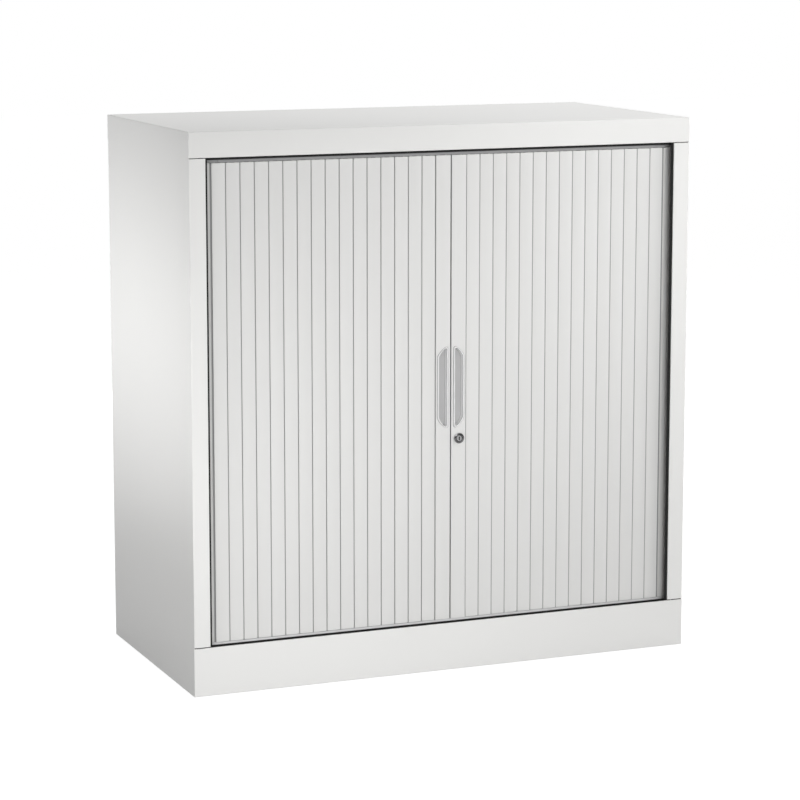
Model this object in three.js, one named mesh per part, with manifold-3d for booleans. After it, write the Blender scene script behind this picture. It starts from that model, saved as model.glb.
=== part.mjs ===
// A low steel cabinet with two side-opening tambour leaves.
//
// Millimetres. +X is to the right of someone facing the cabinet, +Y to its back and +Z up.
// The origin is on the floor, under the middle of the cabinet. The leaves are drawn closed.
//
// Each leaf is a curtain of stiff slats. A round bead along one edge of a slat turns in a
// socket along the edge of its neighbour, so the curtain bends round the corner tracks.

import * as THREE from 'three';
import { mergeVertices } from 'three/addons/utils/BufferGeometryUtils.js';
import Module from 'manifold-3d';

const wasm = await Module();
wasm.setup();

// The cabinet
const cabinetWidth = 1000;
const cabinetDepth = 500;
const cabinetHeight = 1030;

// Sheet steel
const sheet = 1;
const foldRadius = 2.2;
const clearance = 0.3;
const seam = 0.8;
const fasciaHeight = 47;
const plinthHeight = 90;
const stileWidth = 31.5;
const hemDepth = 4;
const hemDrop = 6;
const plinthReturn = 14;
const rearFlange = 20;
const overrun = 5;

// Base deck and the sockets of its levelling feet
const deckDrop = 6;
const deckRecess = 16;
const deckFlange = 26;
const footSocketRadius = 10;
const footSocketBottom = 16;
const footInsetX = 58;
const footInsetY = 56;
const footStemRadius = 4.2;
const footStemHeight = 60;
const footPadRadius = 17;
const footPadHeight = 5;
const footNeckHeight = 11;

// Slats
const leftSlatCount = 16;
const rightSlatCount = 15;
const leadingWidth = 31.2;
const cornerShow = 15.7;
const slatRecess = 16;
const slatGroove = 1.4;
const slatCrown = 1.2;
const slatSkin = 1;
const slatLeg = 1.1;
const slatLegGap = 1;
const beadRadius = 1.25;
const beadPlay = 0.45;
const beadNeck = 0.9;
const socketWall = 0.7;
const hingeShift = 0.4;
const mouthFront = THREE.MathUtils.degToRad(-24);
const mouthBack = THREE.MathUtils.degToRad(54);

// Glides at the ends of the slats
const glideWidth = 8;
const glideThickness = 3.9;
const glideSeat = 10;
const glideRoom = 0.5;

// Leading slats
const leadingDepth = 15;
const leadingWall = 1.6;
const leadingRound = 1.2;
const meetingGap = 2;

// Tracks
const trackWall = 1.6;
const trackFloor = 1.2;
const trackHeight = 6;
const trackNeck = 4;
const trackEndGap = 25;
const cornerRadius = 50;
const skinGap = 0.6;

// Liners and shelves
const linerGap = 8;
const linerFrontInset = 60;
const linerFrontFold = 4;
const linerRearFold = 12;
const slotPitch = 50;
const slotsAboveDeck = 66;
const slotsBelowRoof = 60;
const slotHeight = 14;
const slotWidth = 3;
const hookInset = 60;
const hookHeight = 9;
const hookThickness = 2;
const hookReach = 2.4;
const hookRoot = 5;
const shelfHeightShares = [1 / 3, 11 / 15];
const shelfPlay = 0.6;
const shelfFrontInset = 46;
const shelfRearGap = 4;
const shelfLip = 25;
const shelfLipReturn = 12;
const shelfRearLip = 15;

// Finger pulls
const pullHeight = 154;
const pullWidth = 23;
const pullBottom = 461.5;
const pullInset = 4.8;
const pullRim = 2.3;
const pullRimProud = 1.4;
const pullWall = 1.2;
const pullDepth = 11;
const pullTopCurve = 19;
const pullBottomCurve = 21;
const pullCorner = 4.5;
const pullCornerShare = 0.5;
const pullShoulderShare = 0.22;

// Lock
const lockDrop = 20.5;
const lockInset = 15.6;
const lockFlangeRadius = 10;
const lockFlangeProud = 6;
const lockFlangeRound = 0.8;
const lockBarrelRadius = 8.2;
const lockBarrelDepth = 9.4;
const lockPlugRadius = 6;
const lockStudRadius = 2.5;
const keywayWidth = 1.4;
const keywayHeight = 7;
const keywayDepth = 3;
const hookPlate = 2;
const hookHubRadius = 6;
const hookArmHalf = 3.5;
const clawInner = 19;
const clawOuter = 25;
const clawLead = THREE.MathUtils.degToRad(17);
const strikeAbove = 4.3;
const strikeBelow = 22.5;
const strikeRoom = 0.6;

// Places that follow from the sizes
const sideX = cabinetWidth / 2;
const frontY = -cabinetDepth / 2;
const backY = cabinetDepth / 2;
const sideInner = sideX - sheet;
const stileEdge = sideX - stileWidth;
const roofZ = cabinetHeight - fasciaHeight;
const deckZ = plinthHeight - deckDrop;
const faceY = frontY + slatRecess;
const lockHeight = pullBottom - lockDrop;

// The curtain: how its slats divide the front, and where the hinges lie inside a slat
const curtainHalf = stileEdge - cornerShow;
const slatPitch = (2 * (curtainHalf - leadingWidth)) / (leftSlatCount + rightSlatCount);
const meetingX = leftSlatCount * slatPitch + leadingWidth - curtainHalf;
const skinHalf = (slatPitch - slatGroove) / 2;
const crownRadius = (skinHalf ** 2 + slatCrown ** 2) / (2 * slatCrown);
const socketRadius = beadRadius + beadPlay;
const socketOuter = socketRadius + socketWall;
const hingeDepth = slatCrown + slatSkin + clearance + socketOuter;
const slatDepth = hingeDepth + socketOuter;
const beadOffset = slatPitch / 2 + hingeShift;
const socketOffset = slatPitch / 2 - hingeShift;

// The tracks: a slot that the glides run in, straight along the front and round each corner
const slotHalf = glideThickness / 2 + glideRoom;
const glideFront = slatDepth - glideThickness;
const glideMiddle = slatDepth - glideThickness / 2;
const slotY = faceY + glideMiddle;
const trackHalf = slotHalf + trackWall;
const trackEndY = backY - trackEndGap;
const glideReach = skinGap + trackHeight - trackFloor - glideRoom;
const lowLipZ = deckZ + clearance + trackNeck;
const highLipZ = roofZ - clearance - trackNeck;
const skinBottom = lowLipZ + trackHeight + skinGap;
const skinTop = highLipZ - trackHeight - skinGap;

// The corner slat: both it and the first straight slat touch the slot's curve with their middles
const hingeRise = glideMiddle - hingeDepth;
const cornerAngle = 2 * Math.atan(socketOffset / (cornerRadius + hingeRise));
const curveStartX = curtainHalf + hingeShift
  - (cornerRadius + hingeRise) * Math.sin(cornerAngle)
  + socketOffset * Math.cos(cornerAngle);
const sideSlotX = curveStartX + cornerRadius;
const linerX = sideSlotX - trackHalf - linerGap - sheet;

// Materials

function material(color, roughness, metalness) {
  return new THREE.MeshStandardMaterial({ color, roughness, metalness });
}

const finishes = {
  steel: () => material(0xe6e6e3, 0.42, 0.1),
  slat: () => material(0xe2e2df, 0.5, 0),
  track: () => material(0x9fa5a6, 0.55, 0),
  pull: () => material(0xcfd1d2, 0.4, 0),
  chrome: () => material(0xc9ccd0, 0.18, 1),
  zinc: () => material(0x9a9da1, 0.4, 0.9),
  foot: () => material(0x2b2c2e, 0.7, 0),
};

// Solids: geometries become manifold solids, are joined and cut, and come back as geometries

function toSolid(geometry) {
  const bare = geometry.clone();
  bare.deleteAttribute('normal');
  bare.deleteAttribute('uv');
  const merged = mergeVertices(bare);
  const index = merged.index.array;
  const triangles = [];
  for (let i = 0; i < index.length; i += 3) {
    const [a, b, c] = [index[i], index[i + 1], index[i + 2]];
    if (a !== b && b !== c && c !== a) triangles.push(a, b, c);
  }
  return new wasm.Manifold(new wasm.Mesh({
    numProp: 3,
    vertProperties: new Float32Array(merged.attributes.position.array),
    triVerts: new Uint32Array(triangles),
  }));
}

function toGeometry(solid) {
  const mesh = solid.getMesh();
  const geometry = new THREE.BufferGeometry();
  geometry.setAttribute('position', new THREE.BufferAttribute(mesh.vertProperties, 3));
  geometry.setIndex(new THREE.BufferAttribute(mesh.triVerts, 1));
  geometry.computeVertexNormals();
  return geometry;
}

function join(...solids) {
  return solids.reduce((all, next) => all.add(next));
}

function cut(body, ...tools) {
  return tools.reduce((left, tool) => left.subtract(tool), body);
}

function extrude(shape, length) {
  return new THREE.ExtrudeGeometry(shape, { depth: length, bevelEnabled: false, steps: 1 });
}

// A plan outline in X and Y, carried up from z0 to z1
function prismZ(shape, z0, z1) {
  return toSolid(extrude(shape, z1 - z0).translate(0, 0, z0));
}

// A side outline in Y and Z, carried along X from x0 to x1
function prismX(shape, x0, x1) {
  const turn = new THREE.Matrix4().makeBasis(
    new THREE.Vector3(0, 1, 0),
    new THREE.Vector3(0, 0, 1),
    new THREE.Vector3(1, 0, 0),
  );
  return toSolid(extrude(shape, x1 - x0).applyMatrix4(turn).translate(x0, 0, 0));
}

// A front outline in X and Z, carried back along Y from y0 to y1
function prismY(shape, y0, y1) {
  return toSolid(extrude(shape, y1 - y0).rotateX(Math.PI / 2).translate(0, y1, 0));
}

function block(x0, x1, y0, y1, z0, z1) {
  const geometry = new THREE.BoxGeometry(x1 - x0, y1 - y0, z1 - z0);
  return toSolid(geometry.translate((x0 + x1) / 2, (y0 + y1) / 2, (z0 + z1) / 2));
}

// The same block to the right or left of the middle: near and far are distances from it
function sideBlock(side, near, far, y0, y1, z0, z1) {
  return side > 0 ? block(near, far, y0, y1, z0, z1) : block(-far, -near, y0, y1, z0, z1);
}

// Outlines

function rectangle(x0, x1, y0, y1) {
  const corners = [[x0, y0], [x1, y0], [x1, y1], [x0, y1]];
  return corners.map(([x, y]) => new THREE.Vector2(x, y));
}

function arc(x, y, radius, from, to, steps) {
  return Array.from({ length: steps + 1 }, (_, i) => {
    const angle = from + ((to - from) * i) / steps;
    return new THREE.Vector2(x + radius * Math.cos(angle), y + radius * Math.sin(angle));
  });
}

// The outline of a bent sheet: a line through the corners, rounded at each bend, and the same
// line one sheet thickness to its left
function foldedSheet(corners, radius, steps) {
  const points = corners.map(([x, y]) => new THREE.Vector2(x, y));
  const outer = [];
  const inner = [];
  const add = (point, normal) => {
    outer.push(point);
    inner.push(point.clone().addScaledVector(normal, sheet));
  };
  const leftOf = (direction) => new THREE.Vector2(-direction.y, direction.x);
  const heading = (i) => points[i + 1].clone().sub(points[i]).normalize();
  const last = points.length - 1;
  add(points[0], leftOf(heading(0)));
  for (let i = 1; i < last; i += 1) {
    const before = heading(i - 1);
    const after = heading(i);
    const bend = Math.sign(before.cross(after));
    const centre = points[i].clone()
      .addScaledVector(before, -radius)
      .addScaledVector(leftOf(before), bend * radius);
    for (let k = 0; k <= steps; k += 1) {
      const turned = before.clone().rotateAround(new THREE.Vector2(), (bend * Math.PI * k) / (2 * steps));
      const normal = leftOf(turned);
      add(centre.clone().addScaledVector(normal, -bend * radius), normal);
    }
  }
  add(points[last], leftOf(heading(last - 1)));
  return new THREE.Shape([...outer, ...inner.reverse()]);
}

function roundedRectangle(x0, x1, y0, y1, radius, steps) {
  const quarter = Math.PI / 2;
  return [
    ...arc(x0 + radius, y0 + radius, radius, -2 * quarter, -quarter, steps),
    ...arc(x1 - radius, y0 + radius, radius, -quarter, 0, steps),
    ...arc(x1 - radius, y1 - radius, radius, 0, quarter, steps),
    ...arc(x0 + radius, y1 - radius, radius, quarter, 2 * quarter, steps),
  ];
}

// A ring or disc turned about the Y axis from distances along it and radii
function turnedY(profile, segments) {
  const points = profile.map(([radius, y]) => new THREE.Vector2(radius, y));
  return toSolid(new THREE.LatheGeometry(points, segments));
}

// Carcass

// The top is a box section: its front is the fascia and its underside carries the upper tracks
function topPanel() {
  const outline = new THREE.Shape(
    roundedRectangle(frontY, backY, roofZ, cabinetHeight, foldRadius, 3),
  );
  outline.holes.push(new THREE.Path(roundedRectangle(
    frontY + sheet, backY - sheet, roofZ + sheet, cabinetHeight - sheet, foldRadius - sheet, 2,
  )));
  const notches = [-1, 1].map((side) => sideBlock(
    side, sideInner - clearance, sideX + overrun,
    frontY + sheet, backY - sheet, roofZ - overrun, cabinetHeight - sheet,
  ));
  return cut(prismX(outline, -sideX, sideX), ...notches);
}

// A side runs the full height, with the front stile and the rear flange folded from it
function sidePanel(side) {
  const wall = foldedSheet([
    [sideX, frontY + sheet + clearance],
    [sideX, backY],
    [sideX - rearFlange, backY],
  ], foldRadius, 2);
  const stile = foldedSheet([
    [stileEdge + hemDrop / 2, frontY + hemDepth],
    [stileEdge, frontY + hemDepth],
    [stileEdge, frontY],
    [sideX, frontY],
    [sideX, frontY + hemDepth + plinthReturn],
  ], foldRadius / 2, 2);
  const upper = rectangle(sideInner, sideX, frontY + sheet + clearance, backY - sheet - clearance);
  const right = join(
    prismZ(wall, 0, roofZ - clearance),
    prismZ(stile, plinthHeight + seam, roofZ - seam),
    prismZ(new THREE.Shape(upper), roofZ - overrun, cabinetHeight - sheet - clearance),
  );
  return side > 0 ? right : right.mirror([1, 0, 0]);
}

function backPanel() {
  const half = sideX - foldRadius - clearance;
  const face = backY - sheet - clearance;
  return block(-half, half, face - sheet, face, plinthReturn, roofZ - clearance);
}

// The plinth's front closes the base down to the floor. A dark gap is left behind its top hem
function plinthFront() {
  const outline = foldedSheet([
    [frontY + hemDepth, plinthHeight - hemDrop],
    [frontY + hemDepth, plinthHeight],
    [frontY, plinthHeight],
    [frontY, 0],
    [frontY + plinthReturn, 0],
  ], foldRadius / 2, 2);
  const notches = [-1, 1].map((side) => sideBlock(
    side, sideInner - clearance, sideX + overrun,
    frontY + sheet, frontY + plinthReturn + overrun, -overrun, plinthHeight + overrun,
  ));
  return cut(prismX(outline, -sideX, sideX), ...notches);
}

function footPlaces() {
  return [[-1, -1], [1, -1], [-1, 1], [1, 1]].map(([side, end]) => [
    side * (sideX - footInsetX),
    end * (backY - footInsetY),
  ]);
}

// The deck is a downturned tray with four round sockets for the levelling feet
function baseDeck() {
  const half = sideInner - clearance;
  const front = frontY + deckRecess;
  const back = backY - 2 * (sheet + clearance);
  const tray = block(-half, half, front, back, deckZ - deckFlange, deckZ);
  const hollow = block(
    sheet - half, half - sheet, front + sheet, back - sheet,
    deckZ - deckFlange - overrun, deckZ - sheet,
  );
  const bore = footStemRadius + clearance;
  const sockets = footPlaces().map(([x, y]) => {
    const ring = new THREE.Shape(arc(x, y, footSocketRadius, 0, 2 * Math.PI, 16).slice(1));
    ring.holes.push(new THREE.Path(arc(x, y, bore, 0, 2 * Math.PI, 16).slice(1)));
    return prismZ(ring, footSocketBottom, deckZ - sheet / 2);
  });
  return join(cut(tray, hollow), ...sockets);
}

function levellingFoot() {
  const bottomChamfer = sheet;
  const profile = [
    [0, 0],
    [footPadRadius - bottomChamfer, 0],
    [footPadRadius, bottomChamfer],
    [footPadRadius, footPadHeight],
    [footStemRadius + sheet, footNeckHeight],
    [footStemRadius, footNeckHeight],
    [footStemRadius, footStemHeight],
    [0, footStemHeight],
  ];
  const points = profile.map(([radius, z]) => new THREE.Vector2(radius, z));
  return toSolid(new THREE.LatheGeometry(points, 16).rotateX(Math.PI / 2));
}

// Liners and shelves

// Slots stand at an even pitch for as far as they fit between the deck and the roof
function slotRows() {
  const first = deckZ + slotsAboveDeck;
  const last = roofZ - slotsBelowRoof - slotHeight;
  const steps = Math.floor((last - first) / slotPitch);
  return Array.from({ length: steps + 1 }, (_, row) => first + row * slotPitch);
}

// The slots, and the shelf hooks in them, stand in two columns
function hookColumns() {
  return [frontY + linerFrontInset + hookInset, backY - 2 * (sheet + clearance) - hookInset];
}

// A liner walls off the space that the curtain slides into, with slots for the shelf hooks
function liner(side) {
  const front = frontY + linerFrontInset;
  const back = backY - 2 * (sheet + clearance);
  const outline = foldedSheet([
    [linerX + linerRearFold, back],
    [linerX, back],
    [linerX, front],
    [linerX + linerFrontFold, front],
  ], foldRadius, 2);
  const slots = slotRows().flatMap((z) => hookColumns().map((y) => block(
    linerX - overrun, linerX + overrun, y - slotWidth / 2, y + slotWidth / 2, z, z + slotHeight,
  )));
  const right = cut(prismZ(outline, deckZ + clearance, roofZ - clearance), ...slots);
  return side > 0 ? right : right.mirror([1, 0, 0]);
}

// A shelf hangs on four hooks that stand in the liners' slots
function shelf(heightShare) {
  const rows = slotRows();
  const top = rows[Math.round(heightShare * (rows.length - 1))] + clearance + hookHeight;
  const half = linerX - shelfPlay;
  const front = frontY + shelfFrontInset;
  const back = backY - 2 * (sheet + clearance) - shelfRearGap;
  const outline = foldedSheet([
    [front + shelfLipReturn, top - shelfLip],
    [front, top - shelfLip],
    [front, top],
    [back, top],
    [back, top - shelfRearLip],
  ].reverse(), foldRadius, 2);
  const hooks = [];
  for (const side of [-1, 1]) {
    for (const y of hookColumns()) {
      hooks.push(sideBlock(
        side, half - hookRoot, linerX + sheet + hookReach,
        y - hookThickness / 2, y + hookThickness / 2, top - hookHeight, top - sheet / 2,
      ));
    }
  }
  return join(prismX(outline, -half, half), ...hooks);
}

// Tracks

// A strip on both sides of the slot's middle line: straight from the front, round the corner
// and back along the side, between two distances from that line
function cornerStrip(side, inside, outside) {
  const centreY = slotY + cornerRadius;
  const start = curveStartX + clearance;
  const points = [
    new THREE.Vector2(start, slotY - outside),
    ...arc(curveStartX, centreY, cornerRadius + outside, -Math.PI / 2, 0, 10).slice(1),
    new THREE.Vector2(sideSlotX + outside, trackEndY),
    new THREE.Vector2(sideSlotX - inside, trackEndY),
    ...arc(curveStartX, centreY, cornerRadius - inside, 0, -Math.PI / 2, 10).slice(0, -1),
    new THREE.Vector2(start, slotY + inside),
  ];
  return new THREE.Shape(points.map((point) => new THREE.Vector2(side * point.x, point.y)));
}

// Heights of a track's neck, its grooved part and the bottom of its groove
function trackLevels(isUpper) {
  if (isUpper) {
    return {
      neck: [highLipZ - sheet, highLipZ + trackNeck],
      lips: [highLipZ - trackHeight, highLipZ],
      groove: [highLipZ - trackHeight - overrun, highLipZ - trackFloor],
    };
  }
  return {
    neck: [lowLipZ - trackNeck, lowLipZ + sheet],
    lips: [lowLipZ, lowLipZ + trackHeight],
    groove: [lowLipZ + trackFloor, lowLipZ + trackHeight + overrun],
  };
}

function cornerTrack(side, isUpper) {
  const { neck, lips, groove } = trackLevels(isUpper);
  return cut(
    join(
      prismZ(cornerStrip(side, slotHalf, slotHalf), ...neck),
      prismZ(cornerStrip(side, trackHalf, trackHalf), ...lips),
    ),
    prismZ(cornerStrip(side, slotHalf, slotHalf), ...groove),
    block(
      Math.min(side * (curveStartX - overrun), side * (curveStartX + clearance + sheet)),
      Math.max(side * (curveStartX - overrun), side * (curveStartX + clearance + sheet)),
      slotY - slotHalf, slotY + slotHalf, ...groove,
    ),
    sideBlock(
      side, sideSlotX - slotHalf, sideSlotX + slotHalf,
      trackEndY - sheet, trackEndY + overrun, ...groove,
    ),
  );
}

function frontTrack(isUpper) {
  const { neck, lips, groove } = trackLevels(isUpper);
  const outline = (half, [z0, z1]) => new THREE.Shape(rectangle(slotY - half, slotY + half, z0, z1));
  return cut(
    join(
      prismX(outline(slotHalf, neck), -curveStartX, curveStartX),
      prismX(outline(trackHalf, lips), -curveStartX, curveStartX),
    ),
    prismX(outline(slotHalf, groove), -curveStartX - overrun, curveStartX + overrun),
  );
}

// Slats

// How far behind the crown the inner face of the skin lies at a distance from the middle
function skinBack(offset) {
  return crownRadius - Math.sqrt((crownRadius - slatSkin) ** 2 - offset ** 2);
}

// A bead on its neck, entered and left along the neck's two edges
function beadPoints(beadX, rootX) {
  const half = beadNeck / 2;
  const spread = Math.asin(half / beadRadius);
  return [
    new THREE.Vector2(rootX, hingeDepth - half),
    ...arc(beadX, hingeDepth, beadRadius, Math.PI + spread, 3 * Math.PI - spread, 5),
    new THREE.Vector2(rootX, hingeDepth + half),
  ];
}

// A slat in plan, with its middle at x 0 and its crown at y 0. Its socket points to the
// meeting line and its bead to the side of the cabinet.
function slatOutline() {
  const crownHalf = Math.asin(skinHalf / crownRadius);
  const crown = arc(0, crownRadius, crownRadius, -Math.PI / 2 + crownHalf, -Math.PI / 2 - crownHalf, 4);
  const socketX = -socketOffset;
  const landing = Math.acos((socketOffset - skinHalf) / socketOuter);
  const legX = beadOffset - socketOuter - slatLegGap;
  const channelLeft = socketX + socketRadius + slatLeg;
  const channelRight = legX - slatLeg;
  const mirrored = (angle) => Math.PI - angle;
  return [
    ...crown,
    ...arc(socketX, hingeDepth, socketOuter, -landing, mirrored(mouthFront) - 2 * Math.PI, 2),
    ...arc(socketX, hingeDepth, socketRadius,
      mirrored(mouthFront) - 2 * Math.PI, mirrored(mouthBack), 6),
    ...arc(socketX, hingeDepth, socketOuter, mirrored(mouthBack), Math.PI / 2, 2),
    new THREE.Vector2(channelLeft, slatDepth),
    new THREE.Vector2(channelLeft, skinBack(channelLeft)),
    new THREE.Vector2(0, slatSkin),
    new THREE.Vector2(channelRight, skinBack(channelRight)),
    new THREE.Vector2(channelRight, slatDepth),
    new THREE.Vector2(legX, slatDepth),
    ...beadPoints(beadOffset, legX).reverse(),
    new THREE.Vector2(legX, skinBack(legX)),
    new THREE.Vector2(skinHalf, skinBack(skinHalf)),
  ];
}

// A glide closes the end of a slat's channel and reaches out of it into the track
function glide(left, right, depthBack, reachDown) {
  const sign = reachDown ? -1 : 1;
  const end = reachDown ? skinBottom : skinTop;
  const middle = glideWidth / 2;
  const corners = [
    [left, end - sign * glideSeat], [right, end - sign * glideSeat],
    [right, end - sign * skinGap], [middle, end - sign * skinGap],
    [middle, end + sign * glideReach], [-middle, end + sign * glideReach],
    [-middle, end - sign * skinGap], [left, end - sign * skinGap],
  ];
  const outline = new THREE.Shape(corners.map(([x, z]) => new THREE.Vector2(x, z)));
  return prismY(outline, depthBack - glideThickness, depthBack);
}

function slat(side) {
  const left = socketRadius + slatLeg / 2 - socketOffset;
  const right = beadOffset - socketOuter - slatLegGap - slatLeg / 2;
  const body = join(
    prismZ(new THREE.Shape(slatOutline()), skinBottom, skinTop),
    glide(left, right, slatDepth, true),
    glide(left, right, slatDepth, false),
  );
  return side > 0 ? body : body.mirror([1, 0, 0]);
}

// A leading slat is a deeper channel, open at the back. x 0 is the meeting line.
function leadingOutline() {
  const beadX = leadingWidth + hingeShift;
  const wallX = beadX - socketOuter - slatLegGap;
  const edgeX = leadingWidth - slatGroove / 2;
  const faceX = meetingGap / 2;
  const quarter = Math.PI / 2;
  return [
    ...arc(edgeX - leadingRound, leadingRound, leadingRound, 0, -quarter, 2),
    ...arc(faceX + leadingRound, leadingRound, leadingRound, -quarter, -2 * quarter, 2),
    new THREE.Vector2(faceX, leadingDepth),
    new THREE.Vector2(faceX + leadingWall, leadingDepth),
    new THREE.Vector2(faceX + leadingWall, leadingWall),
    new THREE.Vector2(wallX - leadingWall, leadingWall),
    new THREE.Vector2(wallX - leadingWall, leadingDepth),
    new THREE.Vector2(wallX, leadingDepth),
    ...beadPoints(beadX, wallX).reverse(),
    new THREE.Vector2(wallX, leadingWall + clearance),
    new THREE.Vector2(edgeX, leadingWall + clearance),
  ];
}

// A finger pull's outline: straight along the meeting side, with small round corners there,
// and drawn in by long, nearly straight shoulders at both ends of the other side
function pullOutline(inset) {
  const near = pullInset + inset;
  const far = pullInset + pullWidth - inset;
  const low = pullBottom + inset;
  const high = pullBottom + pullHeight - inset;
  const closing = inset * pullCornerShare;
  const round = pullCorner - closing;
  const topCurve = pullTopCurve - closing;
  const bottomCurve = pullBottomCurve - closing;
  const curve = (...corners) => new THREE.CubicBezierCurve(
    ...corners.map(([x, z]) => new THREE.Vector2(x, z)),
  ).getPoints(6);
  const across = (far - near - round) * pullShoulderShare;
  return new THREE.Shape([
    ...curve([far, high - topCurve], [far, high - topCurve + topCurve * pullShoulderShare],
      [near + round + across, high], [near + round, high]),
    ...arc(near + round, high - round, round, Math.PI / 2, Math.PI, 3).slice(1),
    ...arc(near + round, low + round, round, Math.PI, 3 * Math.PI / 2, 3),
    ...curve([near + round, low], [near + round + across, low],
      [far, low + bottomCurve - bottomCurve * pullShoulderShare], [far, low + bottomCurve]).slice(1),
  ]);
}

// The lock's hook crosses both meeting walls through this slot
function strikeSlot() {
  const wallNear = -overrun;
  const wallFar = meetingGap / 2 + leadingWall + clearance;
  const front = lockBarrelDepth + 2 * clearance - strikeRoom + clearance;
  return block(
    wallNear, wallFar, front, front + hookPlate + 2 * strikeRoom,
    lockHeight - strikeBelow, lockHeight + strikeAbove,
  );
}

function leadingSlat(side) {
  const wallLeft = meetingGap / 2 + leadingWall / 2;
  const wallRight = leadingWidth + hingeShift - socketOuter - slatLegGap - leadingWall / 2;
  const middle = leadingWidth / 2;
  const ends = [true, false].map((down) => glide(
    wallLeft - middle, wallRight - middle, slatDepth, down,
  ).translate([middle, 0, 0]));
  const mouth = pullRim - clearance;
  const tools = [
    prismY(pullOutline(mouth), -overrun, leadingWall + clearance),
    strikeSlot(),
  ];
  if (side > 0) {
    const hole = turnedY([
      [0, -overrun],
      [lockBarrelRadius + clearance, -overrun],
      [lockBarrelRadius + clearance, leadingWall + clearance],
      [0, leadingWall + clearance],
    ], 20);
    tools.push(hole.translate([lockInset, 0, lockHeight]));
  }
  const body = cut(
    join(prismZ(new THREE.Shape(leadingOutline()), skinBottom, skinTop), ...ends),
    ...tools,
  );
  return side > 0 ? body : body.mirror([1, 0, 0]);
}

// A finger pull is a cup let into the leading slat, with a thin rim on its face
function fingerPull(side) {
  const cup = join(
    prismY(pullOutline(0), -pullRimProud, -clearance),
    prismY(pullOutline(pullRim), -pullRimProud / 2, pullDepth),
  );
  const hollow = prismY(pullOutline(pullRim + pullWall), -overrun, pullDepth - pullWall);
  const body = cut(cup, hollow);
  return side > 0 ? body : body.mirror([1, 0, 0]);
}

// Lock. Its pieces are turned about their own Y axis, with y 0 on the slat's face

function lockCase() {
  const bore = lockPlugRadius + clearance;
  return turnedY([
    [bore, -lockFlangeProud],
    [lockFlangeRadius - lockFlangeRound, -lockFlangeProud],
    [lockFlangeRadius, -lockFlangeProud + lockFlangeRound],
    [lockFlangeRadius, -clearance],
    [lockBarrelRadius, -clearance],
    [lockBarrelRadius, lockBarrelDepth],
    [bore, lockBarrelDepth],
    [bore, -lockFlangeProud],
  ], 20);
}

function lockCylinder() {
  const plug = turnedY([
    [0, -lockFlangeProud + clearance],
    [lockPlugRadius, -lockFlangeProud + clearance],
    [lockPlugRadius, lockBarrelDepth + clearance],
    [lockStudRadius, lockBarrelDepth + clearance],
    [lockStudRadius, lockBarrelDepth + hookPlate + 3 * clearance],
    [0, lockBarrelDepth + hookPlate + 3 * clearance],
  ], 16);
  const front = -lockFlangeProud + clearance;
  const keyway = block(
    -keywayWidth / 2, keywayWidth / 2, front - overrun, front + keywayDepth,
    -keywayHeight / 2, keywayHeight / 2,
  );
  return cut(plug, keyway);
}

// The hook hangs down while the lock is open. Its claw leads the way as it swings up and
// across the meeting line, and catches behind the wall of the other leading slat.
function lockHook() {
  const hubEdge = Math.asin(hookArmHalf / hookHubRadius);
  const rear = Math.asin(hookArmHalf / clawOuter);
  const root = Math.asin(hookArmHalf / clawInner);
  const pointing = [
    ...arc(0, 0, hookHubRadius, hubEdge, 2 * Math.PI - hubEdge, 8),
    ...arc(0, 0, clawOuter, -rear, clawLead, 3),
    ...arc(0, 0, clawInner, clawLead, root, 2),
  ];
  const hanging = pointing.map((point) => new THREE.Vector2(-point.y, -point.x));
  const outline = new THREE.Shape(hanging);
  outline.holes.push(new THREE.Path(
    arc(0, 0, lockStudRadius + clearance, 0, 2 * Math.PI, 12).slice(1),
  ));
  const front = lockBarrelDepth + 2 * clearance;
  return prismY(outline, front, front + hookPlate);
}

// The assembly

const cabinet = new THREE.Group();

function place(name, solid, finish, parent = cabinet) {
  const mesh = new THREE.Mesh(toGeometry(solid), finishes[finish]());
  mesh.name = name;
  parent.add(mesh);
  return mesh;
}

function sideName(side) {
  return side < 0 ? 'left' : 'right';
}

function addCarcass() {
  place('top_panel', topPanel(), 'steel');
  place('back_panel', backPanel(), 'steel');
  place('base_deck', baseDeck(), 'steel');
  place('plinth_front', plinthFront(), 'steel');
  for (const side of [-1, 1]) {
    place(`${sideName(side)}_side_panel`, sidePanel(side), 'steel');
    place(`${sideName(side)}_liner`, liner(side), 'steel');
  }
  shelfHeightShares.forEach((share, i) => place(`shelf_${i + 1}`, shelf(share), 'steel'));
}

function addFeet() {
  const names = ['front_left_foot', 'front_right_foot', 'rear_left_foot', 'rear_right_foot'];
  footPlaces().forEach(([x, y], i) => {
    place(names[i], levellingFoot(), 'foot').position.set(x, y, 0);
  });
}

function addTracks() {
  for (const [level, isUpper] of [['bottom', false], ['top', true]]) {
    place(`${level}_front_track`, frontTrack(isUpper), 'track');
    for (const side of [-1, 1]) {
      place(`${level}_${sideName(side)}_track`, cornerTrack(side, isUpper), 'track');
    }
  }
}

// The straight slats of a leaf, counted from the side of the cabinet to the meeting line
function addSlats(side, count) {
  const solid = slat(side);
  for (let i = 0; i < count; i += 1) {
    const name = `${sideName(side)}_slat_${String(i + 1).padStart(2, '0')}`;
    const middle = curtainHalf - (i + 1 / 2) * slatPitch;
    place(name, solid, 'slat').position.set(side * middle, faceY, 0);
  }
  const corner = place(`${sideName(side)}_corner_slat`, solid, 'slat');
  corner.rotation.z = side * cornerAngle;
  const reach = cornerRadius + glideMiddle;
  corner.position.set(
    side * (curveStartX + reach * Math.sin(cornerAngle)),
    slotY + cornerRadius - reach * Math.cos(cornerAngle),
    0,
  );
}

function addLeading(side) {
  const leaf = new THREE.Group();
  leaf.position.set(meetingX, faceY, 0);
  cabinet.add(leaf);
  place(`${sideName(side)}_leading_slat`, leadingSlat(side), 'slat', leaf);
  place(`${sideName(side)}_handle`, fingerPull(side), 'pull', leaf);
}

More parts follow.
